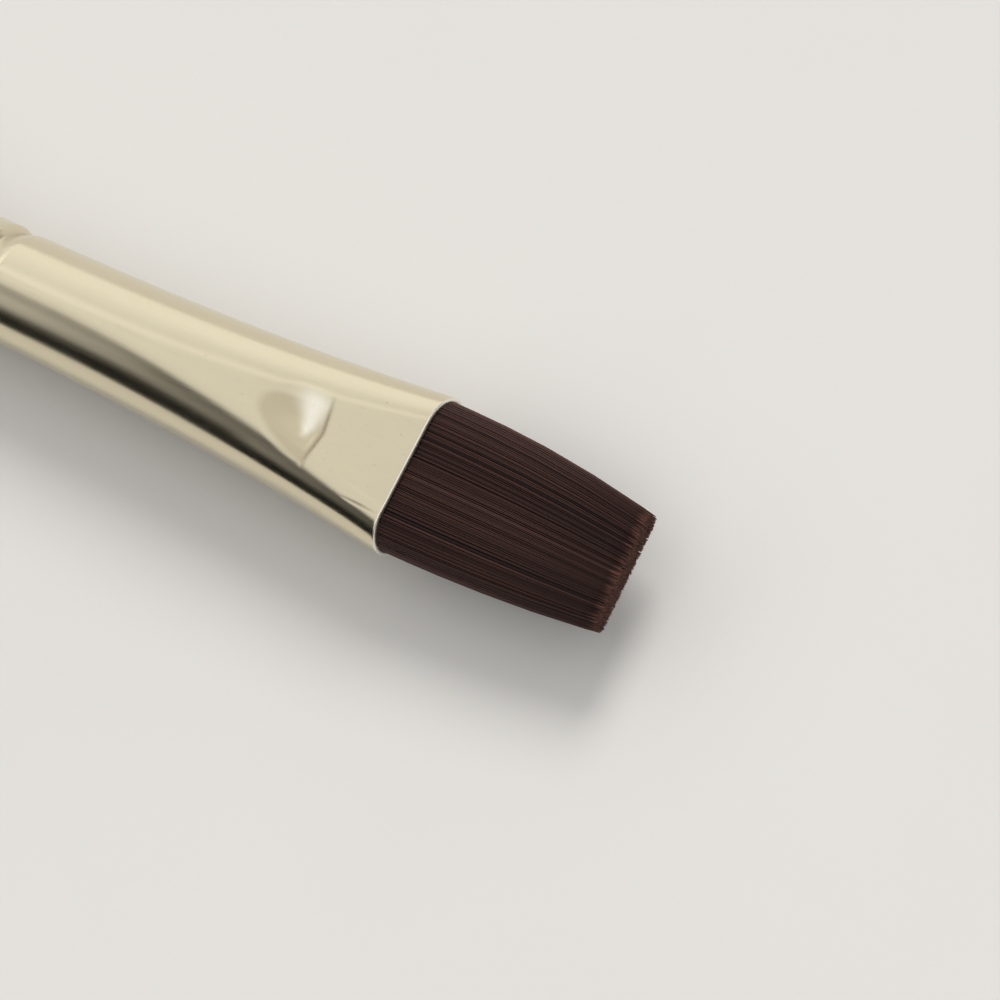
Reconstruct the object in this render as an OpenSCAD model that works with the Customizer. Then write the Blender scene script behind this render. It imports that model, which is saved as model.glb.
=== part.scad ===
// Flat artist's brush: turned wooden handle, pressed metal ferrule and a square-cut filament tuft.
// It lies along X with its tip towards +X. The origin is on the surface below it, at mid length.
// Sizes are in millimetres.

/* [Handle] */
// Length of the handle that shows behind the ferrule
handle_len = 140; // [110:1:200]
// Diameter at the thickest point
belly_d = 7.4; // [6.6:0.1:9]
// Distance from the ferrule to the thickest point
belly_at = 42; // [32:1:55]
// Diameter of the straight tail
tail_d = 4; // [3:0.1:5.5]
// Length of the straight tail, without its round end
tail_len = 16; // [8:1:30]
// How far the handle's shoulder stands proud of the ferrule
shoulder_step = 0.1; // [0.05:0.05:0.3]
// Length of the spigot inside the ferrule
spigot_len = 12; // [10:0.5:14]

/* [Ferrule] */
// Length of the ferrule
ferrule_len = 33; // [32:0.5:42]
// Outer diameter of the tube at its rear edge
rear_d = 5.5; // [5:0.1:6]
// Outer diameter that the tube's front had before it was pressed
front_d = 6.65; // [6:0.05:7.2]
// Wall of the tube
wall = 0.3; // [0.2:0.05:0.4]
// Outer thickness of the pressed mouth
mouth_t = 3.6; // [3:0.1:4.5]
// Length over which the pressed flat runs out into the round barrel
press_len = 22; // [16:0.5:23]
// Distance from the rear edge to the middle of the rear crimp
crimp_at = 3.75; // [3:0.25:5.5]
// Distance between the two crimps
crimp_pitch = 3; // [2.5:0.1:3.5]
// Width of a crimp's groove
crimp_w = 1.4; // [1:0.1:1.8]
// Depth of a crimp's groove
crimp_depth = 0.22; // [0.1:0.02:0.3]
// Rise of the bead between the crimps
bead_rise = 0.1; // [0.1:0.01:0.3]

/* [Tuft] */
// Length of the filaments in front of the ferrule
tuft_out = 12.2; // [9:0.2:16]
// Width across the cut tip
tip_w = 6.1; // [4.5:0.1:7]
// Thickness of the cut tip
tip_t = 1; // [0.8:0.05:1.8]
// Filament columns across the width
strand_cols = 36; // [34:1:38]
// Filament rows through the thickness
strand_rows = 9; // [9:1:10]
// Share of its cell that a filament fills
strand_fill = 0.72; // [0.5:0.02:0.8]
// Unevenness of the cut at the tip
cut_ragged = 0.2; // [0.05:0.05:0.4]
// Largest angle that the tuft bends to either flat side
flex_angle = 35; // [20:1:40]
// Thickness of the bonded slab that the filaments grow from
slab_t = 0.3; // [0.2:0.05:0.5]
// Length of the bonded heel inside the ferrule
heel_len = 8; // [6:0.5:9]

/* [Glue and clearances] */
// Length of the resin plug behind the heel
plug_len = 3; // [2:0.25:4]
// Gap between the spigot and the tube, which the handle's glue fills
glue_gap = 0.2; // [0.15:0.01:0.25]
// Clearance between pieces that are bonded
bond_gap = 0.03; // [0.02:0.01:0.05]
// Clearance round the root of the tuft, where it turns in the mouth
turn_gap = 0.08; // [0.06:0.01:0.12]

/* [Hidden] */
$fn = 64;

// Places along the brush, measured from the mouth: rear is minus, tip is plus.
total_len = tuft_out + ferrule_len + handle_len;
mouth_x = total_len / 2 - tuft_out;
barrel_end = -press_len;
spigot_end = -ferrule_len + spigot_len;
shoulder_x = -ferrule_len - bond_gap;

// The tube is a slight cone. Pressing keeps its girth, so that a section that gets thinner gets
// wider: it is a slot shape with round ends, whose straight sides grow out of the round barrel.
function tube_d(x) = front_d + (front_d - rear_d) * x / ferrule_len;
function press_share(x) = pow(max(0, 1 + x / press_len), 2);
function tube_thick(x) = tube_d(x) - (tube_d(x) - mouth_t) * press_share(x);
function slot_straight(x) = PI / 2 * (tube_d(x) - tube_thick(x));
mouth_w = mouth_t + slot_straight(0);
spigot_r = rear_d / 2 - wall - glue_gap;
shoulder_r = rear_d / 2 + shoulder_step;
axis_z = max(belly_d, mouth_t, rear_d + 2 * bead_rise) / 2;

// The tuft's root is a roll about the joint's axis, so that it turns inside the mouth. The axis lies
// just far enough in front of the mouth for the bent tuft to clear the lip by the same gap.
root_r = mouth_t / 2 - wall - turn_gap;
root_half_w = mouth_w / 2 - wall - turn_gap;
hinge_x = root_r * tan(flex_angle / 2);
root_slice = root_r / 6;
heel_front = hinge_x - root_r - turn_gap;
heel_back = -heel_len;
plug_back = heel_back - bond_gap - plug_len;

// Facets of the pressed part: sides round the slot, and rings along it.
slot_sides = 48;
press_rings = 12;
least_ring_gap = 0.1;

// The pressed part is joined to the barrel by a lap inside its wall.
lap = 0.6;
lap_inset = wall / 6;

function ease(t) = (1 - cos(180 * min(1, max(0, t)))) / 2;

// One ring of the pressed tube at x. The inset moves its outline inwards all round.
function slot_ring(x, inset) =
    let (half = slot_sides / 2, straight = slot_straight(x), r = tube_thick(x) / 2 - inset)
    [for (i = [0 : slot_sides - 1])
        let (a = -90 + (i + 0.5) * 180 / half, side = i < half ? 1 : -1)
        [x, side * straight / 2 + r * cos(a), r * sin(a)]];

// The point numbers of a ring that starts at a number.
function ring(start, n) = [for (i = [0 : n - 1]) start + i];

// Triangles between two rings of point numbers, and a fan that closes a ring, seen from the front.
function band(a, b) = [for (i = [0 : len(a) - 1])
    let (j = (i + 1) % len(a)) each [[a[i], a[j], b[j]], [a[i], b[j], b[i]]]];
function fan(a) = [for (i = [1 : len(a) - 2]) [a[0], a[i], a[i + 1]]];
function flip(faces) = [for (f = faces) [f[0], f[2], f[1]]];

// Stations along the pressed part from x0 forwards to x1.
function stations(x0, x1) =
    let (steps = [for (i = [0 : press_rings]) -press_len * (1 - i / press_rings)])
    concat([x0], [for (x = steps) if (x > x0 + least_ring_gap && x < x1 - least_ring_gap) x], [x1]);

// A solid that fills the pressed tube between two places, held inwards by an inset.
module slot_solid(x0, x1, inset) {
    xs = stations(x0, x1);
    rings = [for (k = [0 : len(xs) - 1]) ring(k * slot_sides, slot_sides)];
    points = [for (x = xs) each slot_ring(x, inset)];
    faces = concat(
        [for (k = [1 : len(xs) - 1]) each band(rings[k - 1], rings[k])],
        flip(fan(rings[0])),
        fan(rings[len(xs) - 1]));
    polyhedron(points, flip(faces));
}

// The pressed front of the ferrule: an outer and an inner skin, closed by a lip at each end.
// Its rear end laps inside the wall of the round barrel.
module pressed_tube() {
    xs = concat([barrel_end - lap], stations(barrel_end, 0));
    last = len(xs) - 1;
    outer = [for (k = [0 : last]) ring(k * slot_sides, slot_sides)];
    inner = [for (k = [0 : last]) ring((last + 1 + k) * slot_sides, slot_sides)];
    points = concat(
        [for (k = [0 : last]) each slot_ring(xs[k], k < 2 ? lap_inset : 0)],
        [for (k = [0 : last]) each slot_ring(xs[k], k < 2 ? wall - lap_inset : wall)]);
    faces = concat(
        [for (k = [1 : last]) each band(outer[k - 1], outer[k])],
        [for (k = [1 : last]) each flip(band(inner[k - 1], inner[k]))],
        flip(band(outer[0], inner[0])),
        band(outer[last], inner[last]));
    polyhedron(points, flip(faces));
}

// Crimp shape: how far a wall is pushed outwards at a distance from the ferrule's rear edge. The
// bead between the crimps rises on the tube, and not on the wood inside it.
function bump(q, middle, width) =
    abs(q - middle) < width / 2 ? (1 + cos(360 * (q - middle) / width)) / 2 : 0;
function crimp_push(q, rise) =
    rise * bump(q, crimp_at + crimp_pitch / 2, crimp_pitch - crimp_w)
    - crimp_depth * (bump(q, crimp_at, crimp_w) + bump(q, crimp_at + crimp_pitch, crimp_w));

// Distances from the rear edge at which the crimped wall is drawn.
crimp_steps = 36;
crimp_from = crimp_at - crimp_w / 2;
crimp_span = crimp_pitch + crimp_w;
crimp_stations = [for (i = [0 : crimp_steps]) crimp_from + crimp_span * i / crimp_steps];

// A crimped wall's profile as [radius, x] points, from the rear edge forwards to a length. Its
// radius goes evenly from r0 to r1.
function crimped(r0, r1, length, rise) = [for (q = concat([0], crimp_stations, [length]))
    [r0 + (r1 - r0) * q / length + crimp_push(q, rise), q - ferrule_len]];
function crimped_tube(inset, length) =
    crimped(rear_d / 2 - inset, tube_d(length - ferrule_len) / 2 - inset, length, bead_rise);

function reversed(list) = [for (i = [len(list) - 1 : -1 : 0]) list[i]];

// Turns a profile of [radius, x] points about the brush's axis.
module turned(profile) {
    rotate([0, 90, 0]) rotate_extrude() polygon(profile);
}

// Puts a piece that is modelled from the middle of the mouth in its place on the brush.
module from_mouth() {
    translate([mouth_x, 0, axis_z]) children();
}

// Radius of the handle at a distance behind its shoulder: a swell to the belly, then a long taper.
taper_end = handle_len - bond_gap - tail_len - tail_d / 2;
function handle_r(s) = s < belly_at
    ? shoulder_r + (belly_d / 2 - shoulder_r) * ease(s / belly_at)
    : belly_d / 2 + (tail_d - belly_d) / 2 * ease((s - belly_at) / (taper_end - belly_at));

module handle() {
    swell_steps = 10;
    taper_steps = 24;
    end_steps = 8;
    swell = [for (i = [0 : swell_steps]) belly_at * i / swell_steps];
    taper = [for (i = [1 : taper_steps]) belly_at + (taper_end - belly_at) * i / taper_steps];
    round_end = [for (i = [0 : end_steps]) let (a = 90 * i / end_steps)
        [tail_d / 2 * cos(a), shoulder_x - taper_end - tail_len - tail_d / 2 * sin(a)]];
    color("saddlebrown") from_mouth() turned(concat(
        [[0, spigot_end]],
        reversed(crimped(spigot_r, spigot_r, spigot_len, 0)),
        [[spigot_r, shoulder_x]],
        [for (s = concat(swell, taper)) [handle_r(s), shoulder_x - s]],
        round_end));
}

// Film of glue round the spigot, between the two crimped walls.
module handle_glue() {
    inner_r = spigot_r + bond_gap;
    color("wheat") from_mouth() turned(concat(
        crimped_tube(wall + bond_gap, spigot_len),
        reversed(crimped(inner_r, inner_r, spigot_len, 0))));
}

module ferrule() {
    barrel_len = ferrule_len + barrel_end;
    color("palegoldenrod") from_mouth() {
        turned(concat(crimped_tube(0, barrel_len), reversed(crimped_tube(wall, barrel_len))));
        pressed_tube();
    }
}

// Set resin behind the heel, which locks the filaments in the taper.
module resin_plug() {
    color("goldenrod") from_mouth() slot_solid(plug_back, heel_back - bond_gap, wall + bond_gap);
}

// The bonded ends of the filaments, which fill the mouth behind the tuft's root.
module tuft_heel() {
    color("#3a221d") from_mouth() slot_solid(heel_back, heel_front, wall + bond_gap);
}

// The root of the tuft, bonded as far as the mouth. It is a slot shape turned about the joint's axis.
module tuft_root() {
    reach = root_half_w - root_r;
    color("#33201b") from_mouth() translate([hinge_x, 0, 0]) intersection() {
        rotate([90, 0, 0]) rotate_extrude() intersection() {
            union() {
                square([2 * root_r, 2 * reach], center = true);
                for (side = [-1, 1]) translate([0, side * reach]) circle(r = root_r);
            }
            translate([0, -root_half_w]) square([root_r, 2 * root_half_w]);
        }
        translate([root_slice - root_r, 0, 0])
            cube([2 * root_r, 4 * root_half_w, 4 * root_r], center = true);
    }
}

// Half width and half thickness of the tuft, at a share of the way from its root to its cut. The
// powers make both draw in slowly at first and faster near the cut.
width_power = 2.5;
thick_power = 1.3;
function tuft_half_w(t) = root_half_w + (tip_w / 2 - root_half_w) * pow(t, width_power);
function tuft_half_t(t) = root_r + (tip_t / 2 - root_r) * pow(t, thick_power);

// Half thickness at a place across the width: full in the middle, round towards both sides.
blunt_side = 0.985;
function side_round(y, half_w, half_t) =
    let (past = max(0, blunt_side * abs(y) - (half_w - half_t)))
    sqrt(half_t * half_t - past * past);

// A corner [y, z] of the grid that shares the section out, at a share of the way.
function grid_corner(col, row, t) =
    let (y = (2 * col / strand_cols - 1) * tuft_half_w(t))
    [y, (2 * row / strand_rows - 1) * side_round(y, tuft_half_w(t), tuft_half_t(t))];
cell_turns = [[0, 0], [1, 0], [1, 1], [0, 1]];

// One ring of a filament: the corners of its cell, drawn in towards the cell's middle.
function strand_ring(col, row, t, x) =
    let (corners = [for (c = cell_turns) grid_corner(col + c[0], row + c[1], t)],
        middle = (corners[0] + corners[1] + corners[2] + corners[3]) / 4)
    [for (c = corners) let (p = middle + strand_fill * (c - middle)) [x, p[0], p[1]]];

// The filaments are square needles with three rings each, which keep to their own cells all the
// way. They grow out of a thin slab of bonded root.
module tuft() {
    back_x = hinge_x + root_slice + bond_gap;
    front_x = back_x + slab_t;
    length = tuft_out - front_x;
    shares = [0, 0.5, 1];
    across = strand_cols + 1;
    up = strand_rows + 1;
    cut_seed = 7;
    uneven = rands(0, cut_ragged, strand_cols * strand_rows, cut_seed);
    grid = [for (row = [0 : strand_rows]) for (col = [0 : strand_cols])
        let (p = grid_corner(col, row, 0)) [front_x, p[0], p[1]]];
    rim = concat(
        [for (col = [0 : strand_cols]) col],
        [for (row = [1 : strand_rows]) row * across + strand_cols],
        [for (col = [strand_cols - 1 : -1 : 0]) strand_rows * across + col],
        [for (row = [strand_rows - 1 : -1 : 1]) row * across]);
    back = ring(across * up, len(rim));
    back_points = [for (k = rim) [back_x, grid[k][1], grid[k][2]]];
    needles = [for (row = [0 : strand_rows - 1]) for (col = [0 : strand_cols - 1])
        for (t = shares) each strand_ring(col, row, t,
            front_x + t * (length - uneven[row * strand_cols + col]))];
    hub = across * up + len(rim);
    first = hub + 1;
    faces = concat(
        band(back, rim),
        [for (i = [0 : len(back) - 1]) [hub, back[(i + 1) % len(back)], back[i]]],
        [for (row = [0 : strand_rows - 1]) for (col = [0 : strand_cols - 1])
            let (cell = [for (c = cell_turns) (row + c[1]) * across + col + c[0]],
                at = first + (row * strand_cols + col) * 4 * len(shares),
                rings = [for (k = [0 : len(shares) - 1]) ring(at + 4 * k, 4)])
            each concat(band(cell, rings[0]), band(rings[0], rings[1]), band(rings[1], rings[2]),
                fan(rings[2]))]);
    color("#4a2a24") from_mouth() polyhedron(
        concat(grid, back_points, [[back_x, 0, 0]], needles),
        flip(faces));
}

handle();
handle_glue();
ferrule();
resin_plug();
tuft_heel();
tuft_root();
tuft();
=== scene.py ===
import bpy
import numpy as np
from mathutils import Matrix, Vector


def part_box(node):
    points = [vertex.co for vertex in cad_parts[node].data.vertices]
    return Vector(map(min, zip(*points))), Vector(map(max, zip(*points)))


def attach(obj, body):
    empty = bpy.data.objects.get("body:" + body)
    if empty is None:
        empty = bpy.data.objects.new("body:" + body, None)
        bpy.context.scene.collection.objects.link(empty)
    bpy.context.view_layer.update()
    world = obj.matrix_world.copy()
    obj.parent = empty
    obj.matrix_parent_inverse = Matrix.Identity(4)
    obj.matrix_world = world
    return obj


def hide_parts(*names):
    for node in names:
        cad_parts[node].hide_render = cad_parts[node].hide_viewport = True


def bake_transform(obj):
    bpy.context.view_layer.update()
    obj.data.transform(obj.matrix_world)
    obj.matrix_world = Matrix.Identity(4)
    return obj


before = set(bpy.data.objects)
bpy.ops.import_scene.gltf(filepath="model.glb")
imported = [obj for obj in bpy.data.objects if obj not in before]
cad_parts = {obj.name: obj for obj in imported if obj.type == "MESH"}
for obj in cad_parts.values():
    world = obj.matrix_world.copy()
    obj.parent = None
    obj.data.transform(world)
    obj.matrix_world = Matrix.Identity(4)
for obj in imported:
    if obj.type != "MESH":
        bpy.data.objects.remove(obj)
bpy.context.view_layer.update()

# A flat artist's brush on a pale floor. Shapes are worked out in millimetres from the middle of the
# ferrule's mouth, with x towards the tip, y across the flat and z up, then put into the frame.
millimetre = 0.001
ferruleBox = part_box("ferrule")
mouthX = ferruleBox[1].x / millimetre
axisZ = (ferruleBox[0].z + ferruleBox[1].z) / 2 / millimetre
scene = bpy.context.scene
print("frame loaded: mouth at", round(mouthX, 2), "mm, axis at", round(axisZ, 2), "mm")


def inFrame(points):
    return (np.asarray(points, float) + np.array([mouthX, 0.0, axisZ])) * millimetre


def ease(t):
    # a half wave of a cosine that climbs from 0 to 1
    return (1 - np.cos(np.pi * np.clip(t, 0, 1))) / 2


def gridFaces(rows, columns, closeRows=False):
    # quads of a grid whose columns run round and close, and whose rows may close too
    i = np.arange(rows if closeRows else rows - 1)[:, None]
    j = np.arange(columns)[None, :]
    nextI, nextJ = (i + 1) % rows, (j + 1) % columns
    corners = (i * columns + j, i * columns + nextJ, nextI * columns + nextJ, nextI * columns + j)
    return np.stack(np.broadcast_arrays(*corners), -1).reshape(-1, 4)


def facingOut(points, quads):
    # the signed volume under the quads is minus where they point inwards, and then they turn round
    a, b, c, d = (points[quads[:, corner]] for corner in range(4))
    volume = np.einsum("ij,ij->", a, np.cross(b, c) + np.cross(c, d))
    return quads if volume > 0 else quads[:, ::-1]


def putMesh(name, points, faceSets, marks=None):
    # one mesh object from points in the frame, sets of faces, and values kept on its points
    mesh = bpy.data.meshes.new(name)
    corners = np.concatenate([faces.ravel() for faces in faceSets])
    sizes = np.concatenate([np.full(len(faces), faces.shape[1]) for faces in faceSets])
    mesh.vertices.add(len(points))
    mesh.vertices.foreach_set("co", np.asarray(points, np.float32).ravel())
    mesh.loops.add(len(corners))
    mesh.loops.foreach_set("vertex_index", corners.astype(np.int32))
    mesh.polygons.add(len(sizes))
    mesh.polygons.foreach_set("loop_start", np.r_[0, np.cumsum(sizes)[:-1]].astype(np.int32))
    mesh.polygons.foreach_set("use_smooth", np.ones(len(sizes), bool))
    for label, values in (marks or {}).items():
        mesh.attributes.new(label, "FLOAT", "POINT")
        mesh.attributes[label].data.foreach_set("value", np.asarray(values, np.float32).ravel())
    mesh.update(calc_edges=True)
    mesh.validate()
    piece = bpy.data.objects.new(name, mesh)
    scene.collection.objects.link(piece)
    print("made", name, "with", len(points), "points and", len(sizes), "faces")
    return piece


class Wire:
    # a socket in a shader tree: sums on it add Math nodes, and add() puts in any other node
    def __init__(self, tree, socket=None):
        self.tree = tree
        self.socket = socket

    def add(self, kind, settings=None, values=None, out=0):
        made = self.tree.nodes.new("ShaderNode" + kind)
        for name, value in (settings or {}).items():
            setattr(made, name, value)
        for key, value in (values or {}).items():
            if isinstance(value, Wire):
                self.tree.links.new(value.socket, made.inputs[key])
            else:
                made.inputs[key].default_value = value
        return Wire(self.tree, made.outputs[out] if len(made.outputs) else None)

    def sum(self, operation, first, second):
        return self.add("Math", {"operation": operation}, {0: first, 1: second})

    def __add__(self, other):
        return self.sum("ADD", self, other)

    def __radd__(self, other):
        return self.sum("ADD", other, self)

    def __sub__(self, other):
        return self.sum("SUBTRACT", self, other)

    def __rsub__(self, other):
        return self.sum("SUBTRACT", other, self)

    def __mul__(self, other):
        return self.sum("MULTIPLY", self, other)

    def __rmul__(self, other):
        return self.sum("MULTIPLY", other, self)

    def __pow__(self, other):
        return self.sum("POWER", self, other)

    def between(self, low, high):
        # 0 below low and 1 above high, with a smooth step between them
        return self.add("MapRange", {"interpolation_type": "SMOOTHSTEP"},
                        {"Value": self, "From Min": low, "From Max": high})

    def blendInto(self, first, second):
        # A colour that goes from the first to the second as this value goes from 0 to 1. Inputs 6
        # and 7 and output 2 are the Mix node's sockets for colours.
        return self.add("Mix", {"data_type": "RGBA"}, {0: self, 6: first, 7: second}, out=2)

    def grain(self, scale, detail):
        # noise on the object's own coordinates, with a scale in cycles per metre on each axis
        place = self.add("TexCoord", out="Object")
        place = self.add("Mapping", {}, {"Vector": place, "Scale": scale})
        return self.add("TexNoise", {}, {"Vector": place, "Scale": 1.0, "Detail": detail})

    def relief(self, strength, distance):
        return self.add("Bump", {}, {"Strength": strength, "Distance": distance, "Height": self})

    def mark(self, label):
        return self.add("Attribute", {"attribute_name": label}, out="Fac")


def rgb(red, green, blue):
    return (red, green, blue, 1.0)


def finishOf(name, build, constants):
    # a material: the build gives the inputs that vary, and the constants are set on the shader
    material = bpy.data.materials.new(name)
    material.use_nodes = True
    material.node_tree.nodes.clear()
    start = Wire(material.node_tree)
    shader = start.add("BsdfPrincipled", {}, {**constants, **build(start)})
    start.add("OutputMaterial", {}, {"Surface": shader})
    return material


def dress(piece, material):
    piece.data.materials.clear()
    piece.data.materials.append(material)


# Ferrule: places along it are minus, since they count back from the mouth. A grain is a scale and a
# detail, a step is where it starts and ends, and a relief is a strength and a distance.
tube = {
    "length": 33.0, "rearD": 5.5, "frontD": 6.65, "wall": 0.3, "mouthT": 3.6, "pressLen": 22.0,
    "crimpAt": 3.65, "crimpPitch": 3.0, "beadSide": 0.45, "openSide": 1.2,
    "crimpDepth": 0.22, "beadRise": 0.1, "lipRound": 0.1,
    "crimpEnd": -23, "plainFrom": -22.5, "plainEnd": -10, "dentFrom": -9.94, "innerEnd": -22,
    "crimpRows": 100, "plainRows": 26, "dentRows": 150, "innerRows": 20, "innerCrimpRows": 52,
    "lipRows": 12, "around": 256, "crowd": 0.45, "topTilt": 0.2,
    "wave": 0.002, "waves": ((0.7, 0.8, 0.0), (0.4, -1.9, 1.0)),
    # the groove and scratch shades are painted shade, and the dark colour is painted shade in the
    # creases and real grime in the pits
    "lipReach": 0.08, "grooveShade": 0.35, "groovePower": 4, "scratchShade": 0.9,
    "paleGold": rgb(0.78, 0.71, 0.53), "deepGold": rgb(0.7, 0.625, 0.45),
    "bareEdge": rgb(0.93, 0.91, 0.84), "grimeAndCreaseShade": rgb(0.2, 0.16, 0.1), "paintedDentShade": rgb(0.52, 0.45, 0.3),
    "paintedHighlight": rgb(0.99, 0.955, 0.82),
    "drawn": ((120, 9000, 9000), 3.0), "smear": ((220, 420, 420), 3.0),
    "pits": ((6500, 6500, 6500), 1.0), "pitStep": (0.74, 0.8),
    "drawnTone": 0.4, "smearTone": 0.6, "dentShadeTone": 0.6, "creaseShadeTone": 0.6, "pitTone": 0.35,
    "roughness": 0.13, "drawnRough": 0.06, "smearRough": 0.06, "lipRough": 0.2, "creaseRough": 0.1,
    "pitDepth": 0.6, "relief": (0.06, 0.00002),
}
# Marks on its top: the dent's far half is towards +y. The swell and the scratch are patches, each with
# its middle along and round, its half sizes and its push.
dent = {
    "edgeX": -4.5, "edgeLean": 0.2, "edgeBlunt": 0.02, "midY": -0.3,
    "reach": 3.6, "farW": 2.3, "nearW": 1.75, "depth": 0.27, "nearDepth": 0.5,
    "rimAt": 1.03, "rimSoft": 0.12, "floorRound": 0.004,
    "farFrom": -0.7, "farOver": 1.3, "farClimb": 1.5, "nearClimb": 0.4,
    "groove": 0.03, "grooveW": 0.12, "grooveEnds": 1.2,
    # painted highlight on the dent's climb: its place, its ends and its wedge
    "highlightAt": 0.9, "highlightNear": -0.75, "highlightFar": 2.1, "highlightSoft": 0.9,
    "wedgeW": 0.22, "wedgeGrowth": 0.42, "wedgeFrom": -0.3, "wedgeOver": 1.5,
    # painted shade in the dent: its reach, its half widths, their powers and its soft edge
    "dentShadeReach": 3.95, "dentShadeFar": 1.2, "dentShadeNear": 1.75, "dentShadeFarPower": 3.0, "dentShadeNearPower": 1.35,
    "dentShadeEdge": 1.06, "dentShadeSoft": 0.2,
    "swell": (-4.2, -2.95, 6.5, 1.3, 0.07), "scratch": (-1.2, -2.58, 1.3, 0.09, -0.025),
}


def tubeSection(x, share):
    # A slot shape of constant girth. The tube is a cone, and pressing takes its thickness down with
    # the square of the way along. Each straight side is pi/2 times the thickness lost. The share
    # runs round from the middle of the top, towards +y.
    d = tube["frontD"] + (tube["frontD"] - tube["rearD"]) * x / tube["length"]
    pressed = np.maximum(0, 1 + x / tube["pressLen"]) ** 2
    r = (d - (d - tube["mouthT"]) * pressed) / 2
    half = np.pi / 4 * (d - 2 * r)
    side = np.where(share < 0.5, 1.0, -1.0)
    walk = np.minimum(share, 1 - share) * np.pi * d
    turn = np.clip((walk - half) / r, 0, np.pi)
    y = np.minimum(walk, half) + r * np.sin(turn) - np.maximum(0, walk - half - np.pi * r)
    return side * y, r * np.cos(turn), side * np.sin(turn), np.cos(turn), side * walk


def crimpPush(q, rise):
    # Two rolled grooves with a flat bead between them, at a distance q from the rear edge. A groove
    # is steep on the side of the bead and runs out slowly on the other side.
    pitch = tube["crimpPitch"] / 2
    out = np.abs(q - tube["crimpAt"] - pitch) - pitch
    groove = 1 - ease(np.where(out < 0, -out / tube["beadSide"], out / tube["openSide"]))
    return rise * ease(-out / tube["beadSide"]) - tube["crimpDepth"] * groove, groove


def pressMark(x, y):
    # A D-shaped dent behind the press tool's edge. It falls from its round rear side and climbs to
    # the edge, slowly on its far half and sharply on its near half. A fine groove is left there.
    off = y - dent["midY"]
    halfW = np.where(off > 0, dent["farW"], dent["nearW"])
    behind = dent["edgeX"] - dent["edgeLean"] * np.sqrt(off ** 2 + dent["edgeBlunt"]) - x
    inDent = behind > 0
    away = np.sqrt((behind / dent["reach"]) ** 2 + (off / halfW) ** 2 + dent["floorRound"])
    t = np.clip(dent["rimAt"] - away, 0, 1)
    bowl = np.where(inDent, t * t / (t + dent["rimSoft"]), 0)
    farShare = ease((off - dent["farFrom"]) / dent["farOver"])
    climbLen = dent["nearClimb"] + (dent["farClimb"] - dent["nearClimb"]) * farShare
    climb = np.clip(behind / climbLen, 0, 1)
    deep = dent["depth"] * (dent["nearDepth"] + (1 - dent["nearDepth"]) * farShare)
    line = np.exp(-(behind / dent["grooveW"]) ** 2)
    line = line * np.clip(dent["grooveEnds"] - (off / dent["nearW"]) ** 2, 0, 1)
    push = -deep * bowl * climb - dent["groove"] * line
    # A painted highlight lies on the climb, in a wedge that widens towards the far side. The rest
    # of the dent gets painted shade, inside a rounded triangle: square on its far side and nearly
    # straight on its near side.
    widening = np.clip(off - dent["wedgeFrom"], 0, dent["wedgeOver"])
    wedge = dent["wedgeW"] + dent["wedgeGrowth"] * widening
    paintedHighlight = np.exp(-((behind - dent["highlightAt"]) / wedge) ** 2) * inDent
    paintedHighlight = paintedHighlight * ease((off - dent["highlightNear"]) / dent["highlightSoft"])
    paintedHighlight = paintedHighlight * ease((dent["highlightFar"] - off) / dent["highlightSoft"])
    power = np.where(off > 0, dent["dentShadeFarPower"], dent["dentShadeNearPower"])
    dentShadeW = np.where(off > 0, dent["dentShadeFar"], dent["dentShadeNear"])
    away = (np.maximum(0, behind) / dent["dentShadeReach"]) ** power + (np.abs(off) / dentShadeW) ** power
    paintedDentShade = ease((dent["dentShadeEdge"] - away ** (1 / power)) / dent["dentShadeSoft"]) * inDent
    return push, line, paintedDentShade * (1 - paintedHighlight), paintedHighlight


def patch(x, walk, name):
    # how far a small smooth patch of the skin is pushed, and its share of the full push
    middleX, middleWalk, halfLen, halfW, push = dent[name]
    share = 1 - ((x - middleX) / halfLen) ** 2 - ((walk - middleWalk) / halfW) ** 2
    share = np.clip(share, 0, 1) ** 2
    return push * share, share


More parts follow.
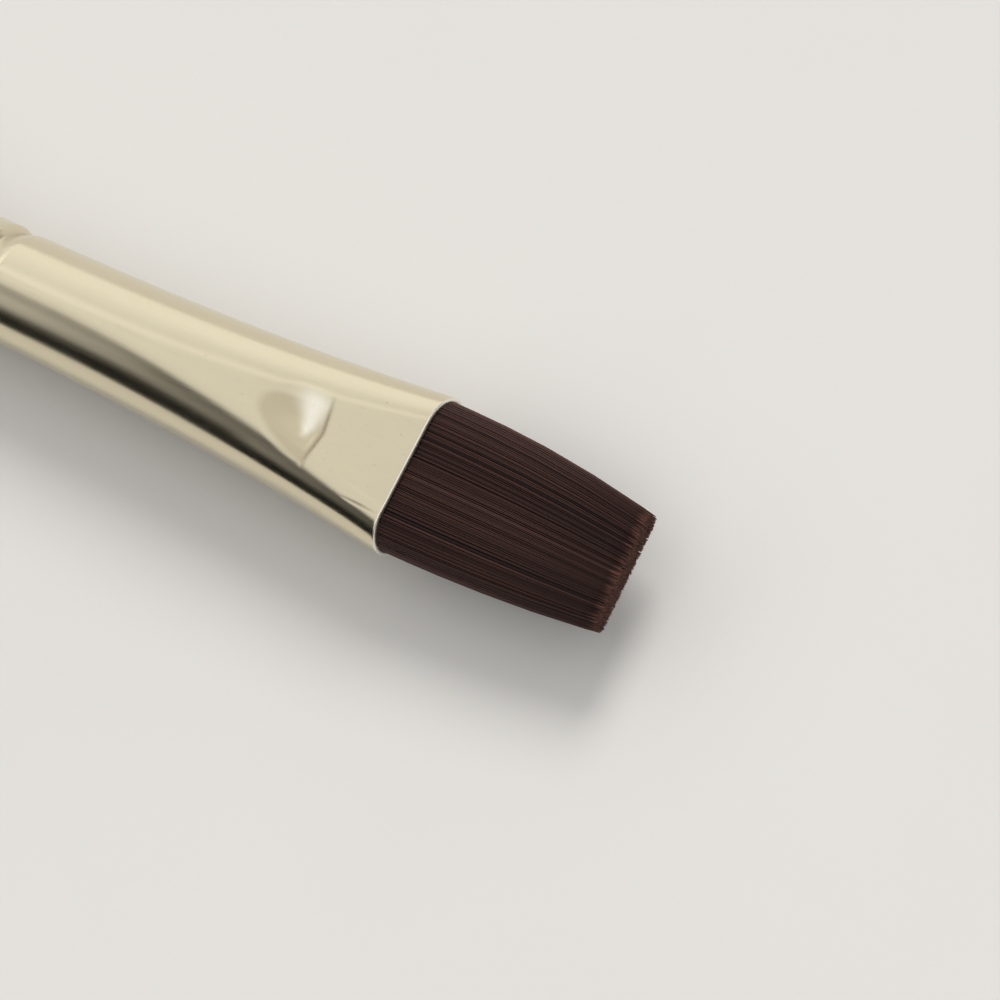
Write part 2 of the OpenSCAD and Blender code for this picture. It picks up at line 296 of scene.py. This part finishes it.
def makeFerrule():
    wall, edge, rear = tube["wall"], tube["lipRound"], -tube["length"]
    outer = np.r_[np.linspace(rear + edge, tube["crimpEnd"], tube["crimpRows"]),
                  np.linspace(tube["plainFrom"], tube["plainEnd"], tube["plainRows"]),
                  np.linspace(tube["dentFrom"], -edge, tube["dentRows"])]
    inner = np.r_[np.linspace(-edge, tube["innerEnd"], tube["innerRows"]),
                  np.linspace(tube["plainFrom"], rear + edge, tube["innerCrimpRows"])]
    lip = np.linspace(0, np.pi, tube["lipRows"])[1:-1]
    # the profile goes along the outer skin, over the lip, back inside and over the rear edge
    x = np.r_[outer, -edge + edge * np.sin(lip), inner, rear + edge - edge * np.sin(lip)][:, None]
    inset = np.r_[outer * 0, wall / 2 * (1 - np.cos(lip)),
                  inner * 0 + wall, wall / 2 * (1 + np.cos(lip))][:, None]
    # the points round the tube crowd together on the top, where the dent is
    share = np.arange(tube["around"])[None, :] / tube["around"]
    share = share - tube["crowd"] * np.sin(2 * np.pi * share) / (2 * np.pi)
    y, z, ny, nz, walk = tubeSection(x, share)
    onOuter = (inset < wall / 4) * 1.0
    topSide = (nz > tube["topTilt"]) * onOuter
    dentPush, line, paintedDentShade, paintedHighlight = pressMark(x, y)
    crimp, groove = crimpPush(x - rear, tube["beadRise"])
    swell = patch(x, walk, "swell")[0]
    scratch, scratchShare = patch(x, walk, "scratch")
    # slow waves left by drawing and handling
    waves = sum(np.sin(along * x + about * walk + phase) for along, about, phase in tube["waves"])
    push = crimp + dentPush * topSide + (swell + scratch + tube["wave"] * waves) * onOuter
    points = np.stack(np.broadcast_arrays(x, y + ny * (push - inset), z + nz * (push - inset)), -1)
    lipShare = np.broadcast_to(np.exp(-(x / tube["lipReach"]) ** 2), y.shape)
    # painted shade in the crimp grooves, along the dent's groove line and in the scratch
    grooveShade = tube["grooveShade"] * groove ** tube["groovePower"]
    scratchShade = tube["scratchShade"] * scratchShare * onOuter
    paintedCreaseShade = np.clip(line * topSide + grooveShade + scratchShade, 0, 1)
    points = inFrame(points.reshape(-1, 3))
    faces = facingOut(points, gridFaces(len(x), tube["around"], closeRows=True))
    piece = putMesh("ferruleShell", points, [faces],
                    {"lipShare": lipShare, "creaseShadeShare": paintedCreaseShade, "dentShadeShare": paintedDentShade * topSide,
                     "paintedHighlightShare": paintedHighlight * topSide})
    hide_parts("ferrule")
    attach(piece, "handle")
    return piece


def paleGold(w):
    drawn = w.grain(*tube["drawn"])
    smear = w.grain(*tube["smear"])
    pits = w.grain(*tube["pits"]).between(*tube["pitStep"])
    lip = w.mark("lipShare")
    creaseShadeMask = w.mark("creaseShadeShare")
    tone = drawn * tube["drawnTone"] + smear * tube["smearTone"]
    tone = tone.blendInto(tube["deepGold"], tube["paleGold"])
    # painted shade over the dent
    tone = (w.mark("dentShadeShare") * tube["dentShadeTone"]).blendInto(tone, tube["paintedDentShade"])
    # painted highlight on the dent's climb
    tone = w.mark("paintedHighlightShare").blendInto(tone, tube["paintedHighlight"])
    tone = lip.blendInto(tone, tube["bareEdge"])
    # painted shade in the creases; the pits take the same colour as real grime
    tone = (creaseShadeMask * tube["creaseShadeTone"]).blendInto(tone, tube["grimeAndCreaseShade"])
    tone = (pits * tube["pitTone"]).blendInto(tone, tube["grimeAndCreaseShade"])
    roughness = tube["roughness"] + drawn * tube["drawnRough"] + smear * tube["smearRough"]
    roughness = roughness + lip * tube["lipRough"] + creaseShadeMask * tube["creaseRough"]
    relief = (drawn - pits * tube["pitDepth"]).relief(*tube["relief"])
    return {"Base Color": tone, "Roughness": roughness, "Normal": relief}


ferruleShell = makeFerrule()
dress(ferruleShell, finishOf("paleGold", paleGold, {"Metallic": 1.0}))

# Tuft: widths and thicknesses are halves, and stations are shares of a filament's length
hair = {
    "out": 12.25, "inside": 1.0, "fullW": 3.9, "tipW": 3.02, "rootT": 1.52, "tipT": 0.52,
    "widthPower": 2.2, "thickPower": 1.25, "lean": 0.06, "slant": 0.16, "fit": 0.97,
    "stations": (0.0, 0.0, 0.035, 0.1, 0.26, 0.46, 0.7, 0.93, 1.0),
    "columns": 92, "rows": 28, "fewest": 5, "shakeAcross": 0.6, "shakeUp": 0.25, "seed": 11,
    "clumps": 24, "clumpReach": 0.97, "pull": 0.05, "leastPull": 0.2, "pullPower": 1.6,
    "stray": 0.014, "wildShare": 0.03, "wildStray": 3.0, "strayPower": 2,
    "ragged": 0.12, "raggedSpread": 0.5,
    "wide": 1.2, "tall": 1.1, "flattest": 0.5, "taperAt": (0, 0.9, 1), "taper": (1.0, 0.9, 0.55),
    "groups": 400, "groupRate": 150, "ownTone": 0.75,
    "middle": rgb(0.027, 0.0112, 0.0086), "light": rgb(0.055, 0.025, 0.0195),
    # the side colour is painted light, for light through the tuft's thin edges
    "dark": rgb(0.005, 0.0022, 0.002), "tip": rgb(0.19, 0.082, 0.058), "side": rgb(0.075, 0.027, 0.02),
    "lightPower": 2.2, "darkStep": (0.6, 0.95), "darkTone": 0.8,
    "sideGlowStep": (0.9, 1.0), "sideGlowTone": 0.6,
    "shadeStep": (0.35, 0.85), "shadeTone": 0.26, "tipStep": (0.96, 1.005), "tipShift": 0.045,
    "tipStart": 0.025, "tipTone": 0.3, "tipMore": 0.45, "roughness": 0.42, "toneRough": 0.1,
}


def makeTuft():
    rng = np.random.default_rng(hair["seed"])
    columns = np.arange(hair["columns"])
    across = 2 * (columns + 0.5) / hair["columns"] - 1

    def sideRound(y, halfW, halfT):
        # half thickness at a place across: full in the middle, round towards both sides
        return np.sqrt(halfT ** 2 - np.maximum(0, hair["fit"] * np.abs(y) - (halfW - halfT)) ** 2)

    # every column holds as many filaments as its height has room for
    height = sideRound(across * hair["fullW"], hair["fullW"], hair["rootT"]) / hair["rootT"]
    count = np.maximum(hair["fewest"], np.round(hair["rows"] * height)).astype(int)
    column = np.repeat(columns, count)
    row = np.arange(len(column)) - np.repeat(np.cumsum(count) - count, count)
    number = len(column)
    shakeAcross = rng.uniform(-hair["shakeAcross"], hair["shakeAcross"], number)
    shakeUp = rng.uniform(-hair["shakeUp"], hair["shakeUp"], number)
    a = np.clip(across[column] + shakeAcross / hair["columns"], -1, 1)[:, None]
    b = np.clip(2 * (row + 0.5 + shakeUp) / count[column] - 1, -1, 1)[:, None]

    share = np.array(hair["stations"])[None, :]
    # the tuft keeps its width for a while and draws in towards the cut
    halfW = hair["fullW"] + (hair["tipW"] - hair["fullW"]) * share ** hair["widthPower"]
    halfT = hair["rootT"] + (hair["tipT"] - hair["rootT"]) * share ** hair["thickPower"]
    # clumps draw together towards the tip and leave dark partings
    partings = np.sort(rng.uniform(-hair["clumpReach"], hair["clumpReach"], hair["clumps"]))
    edges = np.r_[-1.0, partings, 1.0]
    clump = np.clip(np.searchsorted(edges, a) - 1, 0, hair["clumps"])
    middle = (edges[clump] + edges[clump + 1]) / 2
    pull = rng.uniform(hair["leastPull"], 1.0, hair["clumps"] + 1)[clump] * hair["pull"]
    y = (a + (middle - a) * pull * share ** hair["pullPower"]) * halfW
    z = b * sideRound(a * halfW, halfW, halfT)
    # each filament strays a little more the further out it is, and a few stray more than the rest
    stray = rng.normal(0, 1, (number, 2)) * hair["stray"]
    stray = stray * np.where(rng.random(number) < hair["wildShare"], hair["wildStray"], 1.0)[:, None]
    outward = share ** hair["strayPower"]
    y = y + stray[:, :1] * outward + hair["lean"] * np.sin(np.pi * share)
    z = z + stray[:, 1:] * outward
    short = np.abs(rng.normal(0, hair["raggedSpread"], number)) * hair["ragged"]
    length = hair["out"] - short - hair["slant"] * (1 + a[:, 0]) / 2
    x = share * length[:, None]
    x[:, 0] = -hair["inside"]

    # every filament is a needle of four sides
    taper = np.interp(share, hair["taperAt"], hair["taper"])
    wide = hair["wide"] * halfW / hair["columns"] * taper + 0 * a
    tall = np.maximum(hair["tall"] * halfT / hair["rows"], hair["flattest"] * wide) * taper + 0 * a
    corners = np.array([[0, 1], [1, 0], [0, -1], [-1, 0]])
    points = np.stack([
        np.repeat(x[..., None], 4, -1),
        y[..., None] + wide[..., None] * corners[:, 0],
        z[..., None] + tall[..., None] * corners[:, 1]], -1)
    rings = share.shape[1]
    each = 4 * rings
    band = gridFaces(rings, 4)
    caps = np.array([[3, 2, 1, 0], [0, 1, 2, 3]]) + np.array([[0], [each - 4]])
    points = inFrame(points.reshape(-1, 3))
    needle = facingOut(points[:each] - points[:each].mean(0), np.concatenate([band, caps]))
    faces = (needle[None] + (np.arange(number) * each)[:, None, None]).reshape(-1, 4)
    # neighbours share a part of their tone
    groupAt = (a[:, 0] * hair["groupRate"] + hair["groups"] / 2).astype(int)
    group = rng.random(hair["groups"])[groupAt]
    tone = np.clip(hair["ownTone"] * rng.random(number) + (1 - hair["ownTone"]) * group, 0, 1)
    marks = {"tone": np.repeat(tone, each),
             "side": np.repeat(np.abs(a[:, 0]), each),
             "along": np.repeat(np.broadcast_to(share, (number, rings)).ravel(), 4)}
    piece = putMesh("tuftFilaments", points, [faces], marks)
    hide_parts("tuft", "tuft_root")
    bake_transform(piece)
    return piece


def brownFilament(w):
    tone = w.mark("tone")
    along = w.mark("along")
    colour = (tone ** hair["lightPower"]).blendInto(hair["middle"], hair["light"])
    dark = (1 - tone).between(*hair["darkStep"]) * hair["darkTone"]
    colour = dark.blendInto(colour, hair["dark"])
    # painted light: both sides of the tuft are lighter and redder, standing in for light through the
    # thin edges
    side = w.mark("side").between(*hair["sideGlowStep"]) * hair["sideGlowTone"]
    colour = side.blendInto(colour, hair["side"])
    shade = along.between(*hair["shadeStep"]) * hair["shadeTone"]
    colour = shade.blendInto(colour, hair["dark"])
    # the bleached tips start at a different place on each filament
    bleached = (along + tone * hair["tipShift"] - hair["tipStart"]).between(*hair["tipStep"])
    bleached = bleached * (hair["tipTone"] + tone * hair["tipMore"])
    colour = bleached.blendInto(colour, hair["tip"])
    return {"Base Color": colour, "Roughness": hair["roughness"] + tone * hair["toneRough"]}


tuftFilaments = makeTuft()
dress(tuftFilaments, finishOf("brownFilament", brownFilament, {"Specular IOR Level": 0.25}))

# Handle
wood = {
    "length": 140.0, "bellyD": 7.4, "bellyAt": 42.0, "tailD": 4.0, "tailLen": 16.0, "shoulderR": 2.85,
    "spigotLen": 12.0, "spigotR": 2.25, "gap": 0.03, "edgeRound": 0.08, "endDome": 0.06,
    "spigotRows": 70, "edgeRows": 6, "swellRows": 60, "taperRows": 100, "tailRows": 14,
    "afterEdge": 0.3, "afterBelly": 1, "around": 96,
    "light": rgb(0.19, 0.08, 0.037), "dark": rgb(0.06, 0.023, 0.012), "pore": rgb(0.018, 0.007, 0.004),
    "bands": ((9, 420, 160), 4.0), "fibre": ((40, 5200, 5200), 3.0),
    "pores": ((160, 7800, 7800), 2.0), "poreStep": (0.6, 0.7), "wear": ((900, 900, 900), 3.0),
    "bandTone": 0.75, "fibreTone": 0.35, "toneShift": 0.05, "toneStep": (0.25, 0.8), "poreTone": 0.65,
    "roughness": 0.28, "fibreRough": 0.1, "wearRough": 0.12,
    "poreDepth": 0.8, "relief": (0.12, 0.00003),
    "lacquer": {"Coat Weight": 0.45, "Coat Roughness": 0.06, "Specular IOR Level": 0.3},
}


def makeHandle():
    # a turned profile of x and radius: spigot, shoulder, swell to the belly, long taper and tail
    bellyAt, bellyR, tailR = wood["bellyAt"], wood["bellyD"] / 2, wood["tailD"] / 2
    shoulder = -tube["length"] - wood["gap"]
    taperEnd = wood["length"] - wood["gap"] - wood["tailLen"] - tailR
    spigot = np.linspace(wood["spigotLen"], 0, wood["spigotRows"])
    spigotR = wood["spigotR"] + crimpPush(spigot, 0)[0]
    turn = np.linspace(0, np.pi / 2, wood["edgeRows"])
    corner = wood["edgeRound"]
    s = np.r_[np.linspace(corner + wood["afterEdge"], bellyAt, wood["swellRows"]),
              np.linspace(bellyAt + wood["afterBelly"], taperEnd, wood["taperRows"])]
    swell = wood["shoulderR"] + (bellyR - wood["shoulderR"]) * ease(s / bellyAt)
    thin = bellyR + (tailR - bellyR) * ease((s - bellyAt) / (taperEnd - bellyAt))
    tail = np.linspace(0, np.pi / 2, wood["tailRows"])[:-1]
    x = np.r_[spigot - tube["length"], shoulder, shoulder - corner * (1 - np.cos(turn)), shoulder - s,
              shoulder - taperEnd - wood["tailLen"] - tailR * np.sin(tail)]
    r = np.r_[spigotR, wood["spigotR"], wood["shoulderR"] - corner * (1 - np.sin(turn)),
              np.where(s < bellyAt, swell, thin), tailR * np.cos(tail)]
    n = wood["around"]
    angle = 2 * np.pi * np.arange(n) / n
    y, z = r[:, None] * np.cos(angle), r[:, None] * np.sin(angle)
    skin = np.stack(np.broadcast_arrays(x[:, None], y, z), -1)
    ends = np.array([[x[0], 0, 0], [x[-1] - r[-1] * wood["endDome"], 0, 0]])
    points = inFrame(np.concatenate([skin.reshape(-1, 3), ends]))
    # a fan of triangles closes each end, and turns with the band between them
    rows = len(x)
    band = gridFaces(rows, n)
    j = np.arange(n)
    front = np.stack([0 * j + rows * n, (j + 1) % n, j], -1)
    back = np.stack([0 * j + rows * n + 1, (rows - 1) * n + j, (rows - 1) * n + (j + 1) % n], -1)
    turned = facingOut(points, band)
    if turned is not band:
        front, back = front[:, ::-1], back[:, ::-1]
    piece = putMesh("handleWood", points, [turned, front, back])
    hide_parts("handle")
    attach(piece, "handle")
    return piece


def stainedWood(w):
    bands = w.grain(*wood["bands"])
    fibre = w.grain(*wood["fibre"])
    pores = w.grain(*wood["pores"]).between(*wood["poreStep"])
    wear = w.grain(*wood["wear"])
    tone = bands * wood["bandTone"] + fibre * wood["fibreTone"] - wood["toneShift"]
    tone = tone.between(*wood["toneStep"]).blendInto(wood["dark"], wood["light"])
    tone = (pores * wood["poreTone"]).blendInto(tone, wood["pore"])
    roughness = wood["roughness"] + fibre * wood["fibreRough"] + wear * wood["wearRough"]
    relief = (fibre - pores * wood["poreDepth"]).relief(*wood["relief"])
    return {"Base Color": tone, "Roughness": roughness, "Normal": relief}


handleWood = makeHandle()
dress(handleWood, finishOf("stainedWood", stainedWood, wood["lacquer"]))

# Glue, resin and the bonded filament ends keep their CAD shapes inside the ferrule: a low colour, a
# high colour and the least roughness of each
hidden = {
    "handle_glue": (rgb(0.72, 0.62, 0.44), rgb(0.85, 0.78, 0.62), 0.45),
    "resin_plug": (rgb(0.5, 0.34, 0.12), rgb(0.66, 0.5, 0.22), 0.15),
    "tuft_heel": (rgb(0.02, 0.01, 0.008), rgb(0.05, 0.025, 0.02), 0.4),
}
cloudy = {
    "cloud": ((900, 2600, 2600), 4.0), "toneStep": (0.3, 0.7),
    "cloudRough": 0.2, "relief": (0.2, 0.00005),
}


def setGlue(low, high, base):
    def build(w):
        cloud = w.grain(*cloudy["cloud"])
        return {"Base Color": cloud.between(*cloudy["toneStep"]).blendInto(low, high),
                "Roughness": base + cloud * cloudy["cloudRough"],
                "Normal": cloud.relief(*cloudy["relief"])}
    return build


for node, (low, high, base) in hidden.items():
    dress(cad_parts[node], finishOf(node + "Finish", setGlue(low, high, base), {}))
print("finished", ", ".join(hidden))

# Floor, lamp and camera
stage = {
    "floorSize": 6.0, "paleFloor": rgb(0.665, 0.655, 0.635), "greyFloor": rgb(0.652, 0.642, 0.622),
    "cloud": ((35, 35, 35), 3.0), "cloudStep": (0.2, 0.8), "roughness": 0.7,
    "lampWay": (0.03, -0.5, -0.45), "lampSpread": 0.44, "lampPower": 1.83,
    "lampTone": (1.0, 0.985, 0.96),
    "cameraAt": (0.202111, -0.018962, 0.221284), "cameraTurn": (0.943413, 0.095344, 0.228404, 0.220709),
    "lens": 188.28, "sensor": 36.0, "nearest": 0.01,
}
# Light from all round. A pair is where a smooth step starts and ends along a direction.
sky = {
    "overhead": 0.82, "tilt": 0.11, "tipFade": (-0.15, 0.3), "tipDim": 0.5,
    "backStep": (0.45, 0.8), "backLift": 0.22,
    "stripeIn": (0.13, 0.23), "stripeOut": (0.28, 0.4), "stripeLift": 0.17,
    "slope": 1.45, "offset": 0.99, "borderStep": (-0.04, 0.08),
    "fringe": (0.0, 0.3), "fringeEnd": (0.53, 0.59), "fringeDim": 0.25,
    "room": 0.04, "panel": 0.06, "panelTop": (0.4, 0.62), "panelEnd": (0.5, 0.6), "panelLift": 0.4,
    "gap": (-0.28, -0.12), "gapDim": 0.68,
    "frontSide": (-0.6, -0.3), "frontTop": (0.3, 0.55), "frontDim": 0.9,
    "handleLight": 1.25, "handleSide": (0.61, 0.66), "handleTop": (0.2, 0.5),
    "tipLight": 1.35, "tipSide": (0.2, 0.5), "tipTop": (0.4, 0.6),
    "lowTone": rgb(1.0, 0.985, 0.96), "highTone": rgb(1.0, 0.99, 0.975), "toneStep": (-0.2, 0.9),
}


def paleFloor(w):
    cloud = w.grain(*stage["cloud"]).between(*stage["cloudStep"])
    return {"Base Color": cloud.blendInto(stage["greyFloor"], stage["paleFloor"])}


def makeFloor():
    half = stage["floorSize"] / 2
    points = np.array([[-half, -half, 0], [half, -half, 0], [half, half, 0], [-half, half, 0]])
    piece = putMesh("floor", points, [np.array([[0, 1, 2, 3]])])
    dress(piece, finishOf("paleFloor", paleFloor, {"Roughness": stage["roughness"]}))


def studioLight():
    # A soft overhead light fades towards the tip. It is brighter behind the brush, and in a stripe
    # nearer to it. A border at a slant parts it from the front, which has a dark gap under the
    # border, then a dim panel, and a dark room at the bottom. There is a light beyond each end.
    world = bpy.data.worlds.new("studio")
    scene.world = world
    world.use_nodes = True
    world.node_tree.nodes.clear()
    w = Wire(world.node_tree)
    axes = w.add("SeparateXYZ", {}, {"Vector": w.add("TexCoord", out="Generated")})
    x, y, z = (Wire(w.tree, axes.socket.node.outputs[name]) for name in "XYZ")
    towardsHandle = 0 - x
    border = y + x * sky["slope"] + sky["offset"]
    overhead = (sky["overhead"] - x * sky["tilt"]) * (1 - x.between(*sky["tipFade"]) * sky["tipDim"])
    stripe = y.between(*sky["stripeIn"]) * (1 - y.between(*sky["stripeOut"]))
    back = y.between(*sky["backStep"])
    overhead = overhead * (1 + back * sky["backLift"] + stripe * sky["stripeLift"])
    fringe = (1 - border.between(*sky["fringe"])) * towardsHandle.between(*sky["fringeEnd"])
    overhead = overhead * (1 - fringe * sky["fringeDim"])
    panel = sky["panel"] + towardsHandle.between(*sky["panelEnd"]) * sky["panelLift"]
    low = sky["room"] + panel * z.between(*sky["panelTop"])
    low = low * (1 - border.between(*sky["gap"]) * sky["gapDim"])
    level = low + (overhead - low) * border.between(*sky["borderStep"])
    front = (1 - y.between(*sky["frontSide"])) * (1 - z.between(*sky["frontTop"]))
    level = level * (1 - front * sky["frontDim"])
    handleEnd = towardsHandle.between(*sky["handleSide"]) * z.between(*sky["handleTop"])
    level = level + (sky["handleLight"] - level) * handleEnd
    tipEnd = x.between(*sky["tipSide"]) * z.between(*sky["tipTop"])
    level = level + (sky["tipLight"] - level) * tipEnd
    colour = z.between(*sky["toneStep"]).blendInto(sky["lowTone"], sky["highTone"])
    shader = w.add("Background", {}, {"Color": colour, "Strength": level})
    w.add("OutputWorld", {}, {"Surface": shader})


def backLamp():
    # a soft lamp behind the brush, which throws the shadow towards the front
    light = bpy.data.lights.new("backLamp", "SUN")
    light.angle = stage["lampSpread"]
    light.energy = stage["lampPower"]
    light.color = stage["lampTone"]
    lamp = bpy.data.objects.new("backLamp", light)
    lamp.rotation_euler = Vector(stage["lampWay"]).to_track_quat("-Z", "Y").to_euler()
    lamp.visible_glossy = False
    scene.collection.objects.link(lamp)


def makeCamera():
    lens = bpy.data.cameras.new("camera")
    lens.lens = stage["lens"]
    lens.sensor_width = stage["sensor"]
    lens.clip_start = stage["nearest"]
    camera = bpy.data.objects.new("camera", lens)
    camera.location = stage["cameraAt"]
    camera.rotation_mode = "QUATERNION"
    camera.rotation_quaternion = stage["cameraTurn"]
    scene.collection.objects.link(camera)
    scene.camera = camera


makeFloor()
studioLight()
backLamp()
makeCamera()
scene.view_settings.view_transform = "Standard"
print("floor, light and camera are set")

bpy.context.view_layer.update()
